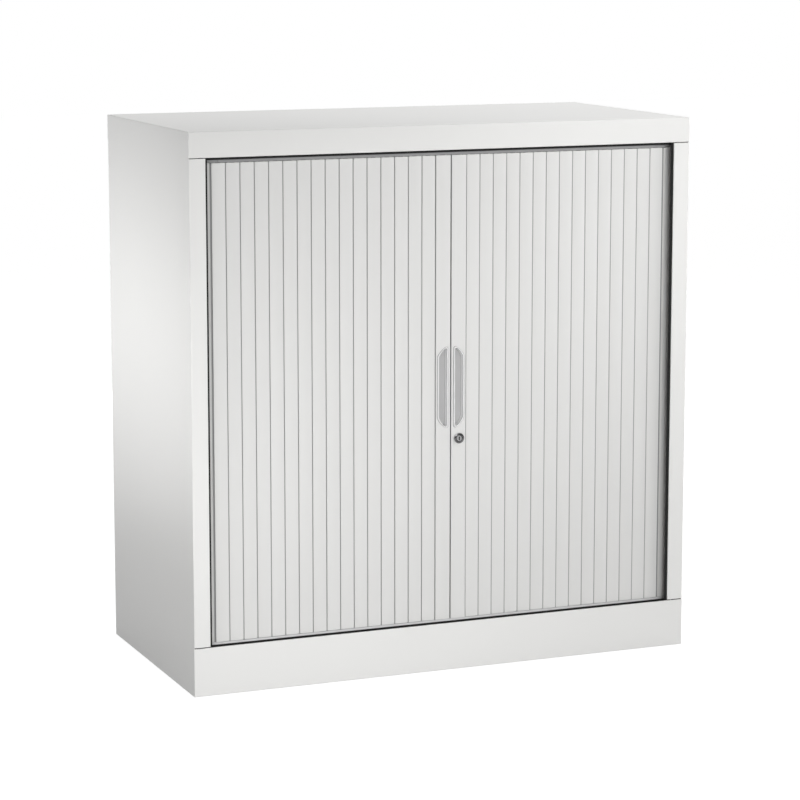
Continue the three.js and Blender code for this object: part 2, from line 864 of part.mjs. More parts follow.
function addLock() {
  const lock = new THREE.Group();
  lock.position.set(meetingX + lockInset, faceY, lockHeight);
  cabinet.add(lock);
  place('lock_case', lockCase(), 'chrome', lock);
  place('lock_cylinder', lockCylinder(), 'chrome', lock);
  place('lock_hook', lockHook(), 'zinc', lock);
}

addCarcass();
addFeet();
addTracks();
addSlats(-1, leftSlatCount);
addSlats(1, rightSlatCount);
addLeading(-1);
addLeading(1);
addLock();

export default cabinet;
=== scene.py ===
# %% [markdown]
# # A tambour door cabinet
#
# This lesson dresses a steel cabinet whose two doors are curtains of upright slats. The packed
# model gives every piece its place. We load it as a fixed frame, make finer pieces over it, mix
# the finishes, and then set up the light and the camera.

# %% Load the frame
import math

import bmesh
import bpy
import numpy as np
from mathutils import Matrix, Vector


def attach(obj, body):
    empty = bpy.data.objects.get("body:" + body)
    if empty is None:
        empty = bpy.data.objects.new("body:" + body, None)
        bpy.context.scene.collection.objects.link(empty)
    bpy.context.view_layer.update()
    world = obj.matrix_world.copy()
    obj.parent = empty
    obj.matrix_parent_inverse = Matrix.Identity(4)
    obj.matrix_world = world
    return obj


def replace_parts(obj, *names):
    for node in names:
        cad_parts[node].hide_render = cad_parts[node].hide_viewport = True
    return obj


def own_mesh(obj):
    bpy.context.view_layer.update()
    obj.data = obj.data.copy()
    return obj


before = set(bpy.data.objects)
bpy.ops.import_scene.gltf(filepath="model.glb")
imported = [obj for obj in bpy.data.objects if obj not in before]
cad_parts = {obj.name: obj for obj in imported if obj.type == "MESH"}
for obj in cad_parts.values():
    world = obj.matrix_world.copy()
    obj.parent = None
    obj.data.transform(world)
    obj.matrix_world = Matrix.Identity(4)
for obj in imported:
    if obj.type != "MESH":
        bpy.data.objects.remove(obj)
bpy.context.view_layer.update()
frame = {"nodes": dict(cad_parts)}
packed, scene = frame["nodes"], bpy.context.scene
MM = 0.001

# %% [markdown]
# ## From rings of points to a mesh
#
# Nearly every piece here is a stack of rings: the same outline repeated along a path, getting
# wider or narrower on the way. A box section, a turned lock and a moulded cup can all be told
# that way. Working out whole rings as arrays keeps the shape in one formula, and the faces
# between two rings are always the same pattern of four-cornered faces.

# %% Mesh of rings


def ring_faces(rings, around, closed, start=0):
    """The faces of a stack of rings: point j of ring i is joined to point j + 1 and to the same
    two points of ring i + 1. A stack that isn't closed into a loop gets a flat cap at each end."""
    last = rings if closed else rings - 1
    i, j = np.meshgrid(np.arange(last), np.arange(around), indexing="ij")
    following = (i + 1) % rings
    beside = (j + 1) % around
    quads = np.stack([i * around + j, i * around + beside,
                      following * around + beside, following * around + j], axis=-1)
    faces = (quads.reshape(-1, 4) + start).tolist()
    if not closed:
        faces.append((np.arange(around)[::-1] + start).tolist())
        faces.append((np.arange(around) + (rings - 1) * around + start).tolist())
    return faces


def add_object(name, data):
    """A new object in the scene, at the origin, for a mesh, a lamp or a camera."""
    made = bpy.data.objects.new(name, data)
    scene.collection.objects.link(made)
    return made


def make_piece(name, stacks, closed=False, flip=False):
    """One object from one or more stacks of rings, each an array of rings by points by three.
    A mirrored stack would be inside out, so flip turns its faces round."""
    points, faces, start = [], [], 0
    for stack in stacks:
        rings, around = stack.shape[:2]
        made = ring_faces(rings, around, closed, start)
        faces += [face[::-1] for face in made] if flip else made
        points.append(stack.reshape(-1, 3))
        start += rings * around
    mesh = bpy.data.meshes.new(name)
    mesh.from_pydata(np.concatenate(points) * MM, [], faces)
    mesh.shade_smooth()
    mesh.update()
    return add_object(name, mesh)


print("faces of a box, two rings of four points:", len(ring_faces(2, 4, False)))

# %% [markdown]
# A cut edge is never perfectly sharp: paint and moulds leave a tiny round on it, and that round
# is what catches the light. A Bevel modifier that looks only at steep corners adds it, and its
# hardened normals keep the flat faces flat.

# %% Rounded edges
steep_corner = 35


def soften(piece, width, steps=2, angle=steep_corner):
    """A narrow round on every corner steeper than the angle."""
    bevel = piece.modifiers.new("edge round", "BEVEL")
    bevel.width = width * MM
    bevel.segments = steps
    bevel.limit_method = "ANGLE"
    bevel.angle_limit = math.radians(angle)
    bevel.harden_normals = True
    bevel.use_clamp_overlap = True
    return piece


print("corners over", steep_corner, "degrees get a round")

# %% [markdown]
# ## Outlines
#
# Every new piece lies on the node it stands for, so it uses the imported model's sizes. They are
# written down once, in millimetres, and turned into metres where a mesh is made.

# %% Sizes of the cabinet
side_x, front_y, back_y, face_y = 500.0, -250.0, 250.0, -234.0
height, roof_z, deck_z, plinth_z = 1030.0, 983.0, 84.0, 90.0
# The sheet's thickness, the room between two panels, the two lines over and under a stile, and
# the stile's inner edge.
sheet, gap, seam, low_seam, stile_edge = 1.0, 0.3, 1.2, 2.0, 468.5
both_sides = (("left", -1), ("right", 1))
print("opening:", 2 * stile_edge, "by", roof_z - plinth_z, "mm")

# %% [markdown]
# Flat outlines come from two small formulas: an arc, and a sheet that is bent at its corners.
# A Solidify modifier could thicken the sheet, but drawing both faces keeps the size exact.

# %% Arcs and folded sheets


def arc(x, y, radius, start, end, steps):
    """Points on a circle at even angles: centre plus radius times the cosine and the sine."""
    angle = np.radians(np.linspace(start, end, steps + 1))
    return np.stack([x + radius * np.cos(angle), y + radius * np.sin(angle)], axis=1)


def left_of(direction):
    return np.array([-direction[1], direction[0]])


def bent_sheet(corners, radius, steps=6):
    """The outline of a folded sheet: each corner becomes a quarter circle, and the same line is
    drawn again one thickness to its left and joined up backwards."""
    corners = np.asarray(corners, float)
    heading = np.diff(corners, axis=0)
    heading /= np.linalg.norm(heading, axis=1)[:, None]
    outer, normals = [corners[:1]], [left_of(heading[0])[None]]
    for k in range(1, len(corners) - 1):
        before, after = heading[k - 1], heading[k]
        bend = np.sign(before[0] * after[1] - before[1] * after[0])
        centre = corners[k] - before * radius + left_of(before) * bend * radius
        turn = bend * np.radians(np.linspace(0, 90, steps + 1))
        turned = np.stack([before[0] * np.cos(turn) - before[1] * np.sin(turn),
                           before[0] * np.sin(turn) + before[1] * np.cos(turn)], axis=1)
        normal = np.stack([-turned[:, 1], turned[:, 0]], axis=1)
        outer.append(centre - bend * radius * normal)
        normals.append(normal)
    outer.append(corners[-1:])
    normals.append(left_of(heading[-1])[None])
    outer, normals = np.concatenate(outer), np.concatenate(normals)
    return np.concatenate([outer, (outer + sheet * normals)[::-1]])


print("points of a sheet with one fold:", len(bent_sheet([[0, 0], [9, 0], [9, 9]], 2)))

# %% [markdown]
# An outline becomes a solid when it is carried along an axis. The order of its points decides
# which way the faces look, so the outline is first wound anticlockwise.

# %% Outlines carried along an axis


def wound(outline):
    """The outline turned to run anticlockwise: its area by the shoelace sum comes out positive."""
    x, y = outline.T
    area = np.sum(x * np.roll(y, -1) - y * np.roll(x, -1)) / 2
    return outline if area > 0 else outline[::-1]


def carried(outline, axis, stations):
    """Rings of one flat outline at several places along an axis. Along X the outline lies in Y
    and Z, and along Z in X and Y."""
    outline = wound(np.asarray(outline, float))
    rings = np.zeros((len(stations), len(outline), 3))
    first, second = {"x": (1, 2), "z": (0, 1)}[axis]
    rings[:, :, "xyz".index(axis)] = np.asarray(stations, float)[:, None]
    rings[:, :, first] = outline[:, 0]
    rings[:, :, second] = outline[:, 1]
    return rings


def block(x0, x1, y0, y1, z0, z1):
    return carried([[x0, y0], [x1, y0], [x1, y1], [x0, y1]], "z", [z0, z1])


def sided(rings, side):
    """The rings as they are for the right side, 1, and mirrored for the left, -1."""
    return rings * np.array([side, 1.0, 1.0])


print("rings and points of a block:", block(0, 1, 0, 1, 0, 1).shape[:2])

# %% [markdown]
# ## Steel panels
#
# The case is 1 mm steel, folded on a press brake and powder coated. A panel with several folds
# is made as the plain parts it consists of, which are then joined or cut. A Boolean does both,
# and its result is made final at once, so that no helper object stays behind.

# %% Joining and cutting steel
small_fold, large_fold, steel_round = 1.3, 2.2, 0.2
steel = []


def cut_or_join(piece, operation, others):
    """A Boolean with each of the other objects, made final in the piece's own mesh."""
    for other in others:
        step = piece.modifiers.new("solid sum", "BOOLEAN")
        step.operation, step.object, step.solver = operation, other, "EXACT"
        result = piece.evaluated_get(bpy.context.evaluated_depsgraph_get())
        made = bpy.data.meshes.new_from_object(result)
        piece.modifiers.clear()
        piece.data = made
        bpy.data.objects.remove(other)
    piece.data.shade_smooth()
    return piece


def add_steel(piece, node):
    """A finished panel: its edges rounded, riding on the carcass and standing for its node."""
    soften(piece, steel_round)
    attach(piece, "carcass")
    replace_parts(piece, node)
    steel.append(piece)


print("folds have radii of", small_fold, "and", large_fold, "mm")

# %% [markdown]
# A side panel is one sheet: a stile folded round the front, the wall, and a lip at the back. A
# fold shows as a soft line of light along the edge, so every fold gets a real radius with enough
# steps to look round. The wall's upper end stands inside the top. The left panel is the right
# one's mirror image, and mirroring turns a mesh inside out, so its normals are turned back.

# %% Side panels with their stiles
lap = 5
stile = bent_sheet([[stile_edge + 3, front_y + 4], [stile_edge, front_y + 4],
                    [stile_edge, front_y], [side_x, front_y], [side_x, front_y + 18]],
                   small_fold)
wall = bent_sheet([[side_x, front_y + sheet + gap], [side_x, back_y], [side_x - 20, back_y]],
                  large_fold)
upper = [[side_x - sheet, front_y + sheet + gap], [side_x, front_y + sheet + gap],
         [side_x, back_y - sheet - gap], [side_x - sheet, back_y - sheet - gap]]
side_parts = [carried(wall, "z", [0, roof_z - gap]),
              carried(stile, "z", [plinth_z + low_seam, roof_z - seam]),
              carried(upper, "z", [roof_z - lap, height - sheet - gap])]
for name, side in reversed(both_sides):
    parts = [make_piece(f"{name}_side", [sided(part, side)]) for part in side_parts]
    if side < 0:
        for part in parts:
            part.data.flip_normals()
    add_steel(cut_or_join(parts[0], "UNION", parts[1:]), f"{name}_side_panel")
print("side panels:", [piece.name for piece in steel])

# %% [markdown]
# The top is a box section. Its front is the fascia over the leaves. At each end the sheet runs
# on over the side panel, so the end shows only the edge of the sheet. The plinth ends in the
# same way, and one helper makes the room for the side panels in both.

# %% Top panel
inner_x, past_x = side_x - sheet - gap, side_x + 10


def end_notches(*box):
    """Two cutters, one at each end, from a side panel's inner face to beyond its outer face."""
    return [make_piece("cutter", [block(*sorted((side * inner_x, side * past_x)), *box)])
            for side in (-1, 1)]


def rounded_box(y0, y1, z0, z1, radius):
    """A rectangle whose corners are quarter circles."""
    front, back, low, high = y0 + radius, y1 - radius, z0 + radius, z1 - radius
    return np.concatenate([arc(y, z, radius, start, start + 90, 6) for y, z, start in (
        (front, low, 180), (back, low, 270), (back, high, 0), (front, high, 90))])


outside = rounded_box(front_y, back_y, roof_z, height, large_fold)
inside = rounded_box(front_y + sheet, back_y - sheet, roof_z + sheet, height - sheet,
                     large_fold - sheet)
tube = np.concatenate([carried(outside, "x", [-side_x, side_x]),
                       carried(inside, "x", [side_x, -side_x])])
top = make_piece("top", [tube], closed=True)
add_steel(cut_or_join(top, "DIFFERENCE", end_notches(
    front_y + sheet, back_y - sheet, roof_z - lap, height - sheet)), "top_panel")
print("faces of the top:", len(top.data.polygons))

# %% [markdown]
# The plinth is one folded strip across the front, down to the floor. A narrow hem along its top
# makes the light line under the leaves.

# %% Plinth
plinth_line = bent_sheet([[front_y + 4, plinth_z - 6], [front_y + 4, plinth_z],
                          [front_y, plinth_z], [front_y, 0], [front_y + 14, 0]], small_fold)
plinth = make_piece("plinth", [carried(plinth_line, "x", [-side_x, side_x])])
add_steel(cut_or_join(plinth, "DIFFERENCE", end_notches(
    front_y + sheet, front_y + 20, -lap, plinth_z + lap)), "plinth_front")
print("steel panels:", len(steel))

# %% [markdown]
# ## The slats
#
# A slat is a plastic extrusion. Its face is slightly crowned, and its back carries a round bead
# along one edge and a socket along the other, so that the curtain can turn a corner. One outline
# gives them all, so its sizes come first: each is named, and the rest is worked out from them.

# %% Sizes of a slat
pitch, groove, crown, skin = 27.2, 1.8, 1.2, 1.0
bead_radius, bead_play, socket_wall, hinge_shift = 1.25, 0.45, 0.7, 0.4
half_neck, leg_wall, leg_room, edge_round = 0.45, 1.1, 1, 0.35
skin_half = (pitch - groove) / 2
crown_radius = (skin_half ** 2 + crown ** 2) / (2 * crown)
socket_in = bead_radius + bead_play
socket_out = socket_in + socket_wall
hinge_depth = crown + skin + gap + socket_out
slat_depth = hinge_depth + socket_out
socket_offset = pitch / 2 - hinge_shift
bead_x = pitch / 2 + hinge_shift
leg_x = bead_x - socket_out - leg_room
channel_left, channel_right = -socket_offset + socket_in + leg_wall, leg_x - leg_wall
print("slats", pitch, "mm apart,", round(slat_depth, 2), "mm deep")

# %% [markdown]
# The tracks above and below decide how long a slat is. Their neck, depth and floor are needed
# here for the slats' ends and again when the tracks are made.

# %% Height of the slats
track_neck, track_tall, track_floor, slat_gap = 4.0, 6.0, 1.2, 0.6
low_lip, high_lip = deck_z + gap + track_neck, roof_z - gap - track_neck
slat_low, slat_high = low_lip + track_tall + slat_gap, high_lip - track_tall - slat_gap
print("slat height:", round(slat_high - slat_low, 1), "mm")

# %% [markdown]
# The plan of a slat is drawn in one go round the section, with the face at a depth of nought and
# everything behind it deeper. The arcs of bead and socket share one middle with the neighbour's,
# and so they can turn in each other.

# %% One slat in plan


def skin_back(x):
    """Depth of the inner face of the skin: a circle one skin smaller than the crown's."""
    return crown_radius - np.sqrt((crown_radius - skin) ** 2 - x ** 2)


def bead_line(steps=14):
    """A round bead on a thin neck: nearly a whole circle, open where the neck comes in."""
    spread = math.degrees(math.asin(half_neck / bead_radius))
    return np.concatenate([
        [[leg_x, hinge_depth - half_neck]],
        arc(bead_x, hinge_depth, bead_radius, 180 + spread, 540 - spread, steps),
        [[leg_x, hinge_depth + half_neck]],
    ])


def slat_line():
    """The plan of a slat: the crowned face, a small round at each edge, the socket, two legs with
    a channel between them, and the bead."""
    swing = math.degrees(math.asin(skin_half / crown_radius)) * 0.975
    face = arc(0, crown_radius, crown_radius, -90 + swing, -90 - swing, 28)
    round_x, sunk = skin_half - edge_round, edge_round * 0.9
    left_edge = arc(-round_x, face[-1, 1] + sunk, edge_round, 260, 180, 4)
    right_edge = arc(round_x, face[0, 1] + sunk, edge_round, 0, -80, 4)
    landing = math.degrees(math.acos((socket_offset - skin_half) / socket_out))
    mouth_front, mouth_back = -156, 126
    channel_x = np.linspace(channel_left, channel_right, 9)
    return np.concatenate([
        face, left_edge,
        arc(-socket_offset, hinge_depth, socket_out, -landing, mouth_front, 6),
        arc(-socket_offset, hinge_depth, socket_in, mouth_front, mouth_back, 16),
        arc(-socket_offset, hinge_depth, socket_out, mouth_back, 90, 4),
        [[channel_left, slat_depth]],
        np.stack([channel_x, skin_back(channel_x)], axis=1),
        [[channel_right, slat_depth], [leg_x, slat_depth]],
        bead_line()[::-1],
        [[leg_x, skin_back(leg_x)], [skin_half, skin_back(skin_half)]],
        right_edge,
    ])


slat_plan = slat_line()
print("points in the slat's outline:", len(slat_plan))

# %% [markdown]
# The outline is then carried up the height. A real slat's corners are rounded off at both ends,
# so there the face is drawn back and in a little, while the back of the section stays straight.

# %% Slat with rounded ends


def slat_rings(outline, bottom, top_z, draw=0.5, end_round=1.6):
    """The outline carried up. At both ends its front is drawn back and in along a quarter circle,
    which rounds the corners of the face."""
    turn = np.radians(np.linspace(0, 90, 7))
    rise = end_round * (1 - np.cos(turn))
    drawn = draw * (1 - np.sin(turn))
    heights = np.concatenate([bottom + rise, top_z - rise[::-1]])
    back = np.concatenate([drawn, drawn[::-1]])
    rings = carried(outline, "z", heights)
    front = np.clip(1 - rings[0, :, 1] / (skin + crown), 0, 1)
    rings[:, :, 1] += back[:, None] * front[None, :]
    narrow = 1 - end_round * (back / draw) / skin_half
    rings[:, :, 0] *= 1 + (narrow[:, None] - 1) * (front > 0.05)[None, :]
    return rings


strip_rings = slat_rings(slat_plan, slat_low, slat_high)
print("rings in a strip:", len(strip_rings))

# %% [markdown]
# Moulded glides close both ends of the channel: each is a plug, and a narrower tongue that runs
# in the track's slot. The tongue's reach follows from the track's depth, so the two always fit.

# %% Glides
glide_half, glide_deep, glide_seat, glide_lift = 4.0, 3.9, 10.0, 0.5


def glides():
    """A plug and a tongue at the bottom, and the same at the top."""
    depth = (slat_depth - glide_deep, slat_depth)
    plug_x = (channel_left - leg_wall / 2, channel_right + leg_wall / 2)
    reach = slat_gap + track_tall - track_floor - glide_lift
    return [
        block(*plug_x, *depth, slat_low + slat_gap, slat_low + glide_seat),
        block(-glide_half, glide_half, *depth, slat_low - reach, slat_low + slat_gap),
        block(*plug_x, *depth, slat_high - glide_seat, slat_high - slat_gap),
        block(-glide_half, glide_half, *depth, slat_high - slat_gap, slat_high + reach),
    ]


slat_stacks = [strip_rings] + glides()
print("stacks in one strip:", len(slat_stacks))

# %% [markdown]
# At each end the curtain turns a corner and runs back along the side. One slat always stands in
# the bend. Its angle follows from half its width and the radius of the bend.

# %% Where the curtain turns
cabinet_half, corner_radius = 452.8, 50.0
slot_y = face_y + slat_depth - glide_deep / 2
hinge_rise = slat_depth - glide_deep / 2 - hinge_depth
corner_angle = 2 * math.atan(socket_offset / (corner_radius + hinge_rise))
curve_x = (cabinet_half + hinge_shift - (corner_radius + hinge_rise) * math.sin(corner_angle)
           + socket_offset * math.cos(corner_angle))
corner_reach = corner_radius + slat_depth - glide_deep / 2
print("the corner slat is turned by", round(math.degrees(corner_angle), 1), "degrees")

# %% [markdown]
# Every slat rides on its own body. An Array modifier would make one object of them, which
# couldn't open, so one pattern's points are placed slat by slat.

# %% Both curtains
plastic = []


def put(stacks, side, x, y=face_y, turn=0.0):
    """Mirror for the left leaf, turn about Z and move, in the points themselves."""
    c, s = math.cos(turn), math.sin(turn)
    rotation = np.array([[c, s, 0], [-s, c, 0], [0, 0, 1]])
    return [sided(stack, side) @ rotation + np.array([x, y, 0.0]) for stack in stacks]


def add_strip(name, body, node, side, *place):
    """One strip, riding on its body and standing for its node."""
    strip = make_piece(name, put(slat_stacks, side, *place), flip=side < 0)
    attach(strip, body)
    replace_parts(strip, node)
    plastic.append(strip)
    return strip


for (name, side), count in zip(both_sides, (16, 15)):
    for k in range(count):
        node = f"{name}_slat_{k + 1:02d}"
        strip = add_strip(f"{node}_strip", node, node, side,
                          side * (cabinet_half - (k + 0.5) * pitch))
        strip["leaf"] = f"{name}_leaf_slide"
    add_strip(f"{name}_corner_strip", "carcass", f"{name}_corner_slat", side,
              side * (curve_x + corner_reach * math.sin(corner_angle)),
              slot_y + corner_radius - corner_reach * math.cos(corner_angle),
              side * corner_angle)
print("strips:", len(plastic), "faces in one:", len(plastic[0].data.polygons))

# %% [markdown]
# ## Tracks
#
# The glides run in grooved tracks above and below the leaves. The front one is straight, and a
# curved one on each side leads the curtain round the corner and back along the side. All six
# are one section carried along a path, which is how an extruded track is bent, too.

# %% Track section and path
slot_half = glide_deep / 2 + 0.5
track_half = slot_half + 1.6
track_end_y = back_y - 25


def track_section(low):
    """Across the track: a neck, then two lips with the groove between them. Seen from the end,
    the first number is the distance from the slot's middle and the second is the height."""
    out, slot = track_half, slot_half
    neck, tall, floor = -track_neck, track_tall, track_floor
    line = np.array([[-slot, neck], [slot, neck], [slot, 0], [out, 0], [out, tall], [slot, tall],
                     [slot, floor], [-slot, floor], [-slot, tall], [-out, tall], [-out, 0],
                     [-slot, 0]])
    return line + [0, low_lip] if low else line * [1, -1] + [0, high_lip]


# Each path is its points and their outward directions. The one round the corner is a quarter
# circle with a straight run at each end.
front_path = np.array([[[-curve_x, slot_y], [curve_x, slot_y]], [[0.0, -1.0], [0.0, -1.0]]])
bend_middle = np.array([curve_x, slot_y + corner_radius])
bend = arc(*bend_middle, corner_radius, -90, 0, 20)[1:]
side_path = np.array([
    [[curve_x + gap, slot_y], *bend, [curve_x + corner_radius, track_end_y]],
    [[0.0, -1.0], *(bend - bend_middle) / corner_radius, [1.0, 0.0]],
])
print("slot:", round(2 * slot_half, 1), "mm wide, points of the corner path:", side_path.shape[1])

# %% [markdown]
# A rail's rings stand square to its path. The mirrored rails and the lower ones are wound the
# other way round, and where both hold, the two cancel out.

# %% Front and corner tracks
tracks = []


def along_path(section, path, normals):
    """A section carried along a plan path: each ring is the path's point, plus the section's
    first number times the path's normal, at the section's height."""
    rings = np.zeros((len(path), len(section), 3))
    rings[:, :, :2] = path[:, None] + normals[:, None] * section[None, :, :1]
    rings[:, :, 2] = section[None, :, 1]
    return rings


def add_rail(level, place, rings, flip):
    rail = soften(make_piece(f"{level}_{place}_rail", [rings], flip=flip), 0.15)
    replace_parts(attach(rail, "carcass"), f"{level}_{place}_track")
    tracks.append(rail)


for level, low in (("bottom", True), ("top", False)):
    section = track_section(low)
    add_rail(level, "front", along_path(section, *front_path), low)
    for name, side in both_sides:
        rings = sided(along_path(section, *side_path), side)
        add_rail(level, name, rings, low == (side > 0))
print("rails:", [rail.name for rail in tracks])

# %% [markdown]
# Behind the frame of the opening runs a narrow black seal. It fills the gap between the steel
# and the curtain where there is only shade, and its black paints the thin dark shadow line all
# round the slats: painted shade. Two short strips paint the same shade behind the seams between
# the stiles and the plinth.

# %% Black seal round the opening, as painted shade
in_x, out_x = stile_edge - 4.4, stile_edge + 8
lip_front, lip_back = -236.0, -233.2
behind = slot_y - slot_half - gap
high_lip_line = [[lip_front, roof_z - 5.2], [lip_back, roof_z - 5.2], [lip_back, roof_z - 3.9],
                 [behind, roof_z - 3.9], [behind, roof_z - gap], [lip_front, roof_z - gap]]
low_lip_line = [[-245.2, deck_z + gap], [behind, deck_z + gap], [behind, deck_z + 3.4],
                [lip_back, deck_z + 3.4], [lip_back, deck_z + 6.6], [lip_front, deck_z + 6.6],
                [lip_front, deck_z + 3.4], [-245.2, deck_z + 3.4]]
post = (-245.6, -242.8, deck_z - 2, roof_z - gap)
seam_shade_strip = (-248.7, -246.6, plinth_z + 0.1, plinth_z + 3)
shade_seal_parts = [
    block(-out_x, -in_x, *post), block(in_x, out_x, *post),
    carried(high_lip_line, "x", [-out_x, out_x]), carried(low_lip_line, "x", [-out_x, out_x]),
    block(-side_x + 1.6, -out_x - 1, *seam_shade_strip), block(out_x + 1, side_x - 1.6, *seam_shade_strip),
]
# The seal and the seam strips are painted shade: near-black pieces standing in for shadow.
shade_seal = soften(make_piece("opening_seal", shade_seal_parts), 0.4)
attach(shade_seal, "carcass")
print("seal parts:", len(shade_seal_parts))

# %% [markdown]
# ## Leading slats
#
# The first slat of each leaf is a wide, deep channel. It has openings for the finger pull, the
# lock and the lock's hook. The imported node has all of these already, so a merged copy of it
# keeps them exactly, and only its edges need a finer round.

# %% Leading slats, from merged copies


def merged_copy(node, name):
    """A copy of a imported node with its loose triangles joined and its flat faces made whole."""
    mesh = packed[node].data.copy()
    mesh.name = name
    piece = add_object(name, mesh)
    work = bmesh.new()
    work.from_mesh(mesh)
    bmesh.ops.remove_doubles(work, verts=work.verts, dist=1e-6)
    bmesh.ops.dissolve_limit(work, angle_limit=math.radians(0.5), verts=work.verts,
                             edges=work.edges)
    work.to_mesh(mesh)
    work.free()
    mesh.shade_smooth()
    if "custom_normal" in mesh.attributes:
        mesh.attributes.remove(mesh.attributes["custom_normal"])
    return piece


for name, side in both_sides:
    lead = soften(merged_copy(f"{name}_leading_slat", f"{name}_lead"), 0.3, steps=3, angle=30)
    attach(lead, f"{name}_leading")
    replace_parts(lead, f"{name}_leading_slat")
    plastic.append(lead)
    print(lead.name, "faces:", len(lead.data.polygons))

# %% [markdown]
# ## Finger pulls
#
# Each pull is a moulded cup let into the slat: a raised bead round the opening, walls that lean
# in a little, and a hollow floor. The outline is straight beside the meeting line and bowed on
# the other side. It is drawn for any inset, because the cup is made of the same outline again
# and again, further in.

# %% Outline of a finger pull
meeting_x = 13.6
pull_near, pull_far, pull_low, pull_high = 4.8, 27.8, 461.5, 615.5
small_corner, top_bow, bottom_bow = 4.5, 19, 21
top_ease, bottom_ease = 0.22, 0.3


def bezier(points, steps):
    """A cubic curve: the four points weighted by the terms of (1 - t + t) cubed."""
    t = np.linspace(0, 1, steps + 1)[:, None]
    a, b, c, d = np.asarray(points, float)
    return ((1 - t) ** 3 * a + 3 * (1 - t) ** 2 * t * b + 3 * (1 - t) * t ** 2 * c + t ** 3 * d)


def straight_side(x, start, end):
    """Eleven points between two heights, without the ends."""
    heights = np.linspace(start, end, 13)[1:-1]
    return np.stack([np.full_like(heights, x), heights], axis=1)


def pull_line(inset):
    """The opening in X and Z, set in by a distance: two straight sides, small round corners by
    the meeting line and a long curve at each end of the other side."""
    near, far = pull_near + inset, pull_far - inset
    low, high = pull_low + inset, pull_high - inset
    closing = inset * 0.5
    corner = max(small_corner - closing, 0.4)
    top_curve, bottom_curve = top_bow - closing, bottom_bow - closing
    across = far - near - corner
    return np.concatenate([
        bezier([[far, high - top_curve], [far, high - top_curve * (1 - top_ease)],
                [near + corner + across * top_ease, high], [near + corner, high]], 16),
        arc(near + corner, high - corner, corner, 90, 180, 8)[1:],
        straight_side(near, high - corner, low + corner),
        arc(near + corner, low + corner, corner, 180, 270, 8),
        bezier([[near + corner, low], [near + corner + across * bottom_ease, low],
                [far, low + bottom_curve * (1 - bottom_ease)],
                [far, low + bottom_curve]], 16)[1:],
        straight_side(far, low + bottom_curve, high - top_curve),
    ])


print("points round a pull:", len(pull_line(0)))

# %% [markdown]
# A short profile of inset and depth then leads over the bead, down the wall and round into the
# floor. A negative depth stands out in front of the slat's face.

# %% Finger pulls
# Pairs of inset and depth, from the outside of the cup over its rim to the floor.
pull_profile = np.concatenate([
    [[2.4, 11.0], [2.4, 0.0], [0.1, -0.2], [0.1, -0.35]],
    arc(1.7, -0.9, 0.5, 225, 270, 4), arc(2.6, -0.6, 0.8, -90, -10, 6),
    [[3.7, 0.8]], arc(6.0, 7.2, 1.7, 180, 90, 6), [[7.2, 9.0]],
])


def pull_ring(inset, depth):
    line = pull_line(inset)
    return np.stack([line[:, 0], np.full(len(line), depth), line[:, 1]], axis=1)


cup = np.array([pull_ring(inset, depth) for inset, depth in pull_profile])
pulls = []
for name, side in both_sides:
    pull = make_piece(f"{name}_pull", put([cup], side, meeting_x), flip=side < 0)
    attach(pull, f"{name}_leading")
    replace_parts(pull, f"{name}_handle")
    pulls.append(pull)
print("pull faces:", len(pulls[0].data.polygons))

# %% [markdown]
# ## The lock
#
# The lock is a chromed case with a turning plug. Both are turned parts, so a profile of radius
# and depth goes round an axis. The case's flange slopes back from its rim, and its bore is open
# for the plug.

# %% Lock case
lock_x, lock_z, around = meeting_x + 15.6, 441.0, 64
angle = np.linspace(0, 2 * np.pi, around, endpoint=False)
circle = np.stack([np.cos(angle), np.sin(angle)], axis=1)


def ring_at(line, depth):
    """A flat line round the lock's axis, at a depth behind the slats' face."""
    return np.stack([lock_x + line[:, 0], np.full(around, face_y + depth), lock_z + line[:, 1]],
                    axis=1)


case_profile = np.concatenate([
    [[6.3, 9.4]],
    arc(6.9, -5.3, 0.6, 180, 290, 7),
    arc(9.3, -4.32, 0.7, -70, 24, 8),
    [[8.2, -0.3], [8.2, 9.4]],
])
case_rings = np.array([ring_at(circle * radius, depth) for radius, depth in case_profile])
lock_case = make_piece("lock_barrel", [case_rings], closed=True, flip=True)
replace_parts(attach(lock_case, "right_leading"), "lock_case")
print("lock case at", lock_x, lock_z, "mm, rings:", len(case_rings))

# %% [markdown]
# The plug's face needs a keyway. A Boolean would leave untidy faces on a mirror-bright part.
# Instead the rings start as the keyway's narrow outline, deep inside, and widen to circles.

# %% Lock plug with its keyway


def keyway(half_x, half_z, power=8.0):
    """A rounded slot: the radius at each angle is where a ray leaves a soft-cornered box."""
    c, s = np.abs(circle.T)
    radius = ((c / half_x) ** power + (s / half_z) ** power) ** (-1 / power)
    return circle * radius[:, None]


plug_profile = (
    (keyway(0.9, 3.5), 5.0), (keyway(0.9, 3.5), -5.05), (keyway(1.05, 3.65), -5.2),
    (keyway(1.3, 3.9), -5.2), (circle * 4.95, -5.2), (circle * 5.1, -5.2),
    (circle * 5.6, -5.0), (circle * 6.0, -4.2), (circle * 6.0, 9.7),
    (circle * 2.5, 9.7), (circle * 2.5, 12.3),
)
plug_rings = np.array([ring_at(line, depth) for line, depth in plug_profile])
plug = make_piece("lock_plug_face", [plug_rings], flip=True)
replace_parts(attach(plug, "lock_plug"), "lock_cylinder")
print("plug rings:", len(plug_rings))

# %% [markdown]
# ## Finishes
#
# A finish is a small network of nodes. Long sums are hard to read as nodes, so a small class
# wraps a socket and lets ordinary Python sums add the Math nodes.

# %% Sums on sockets


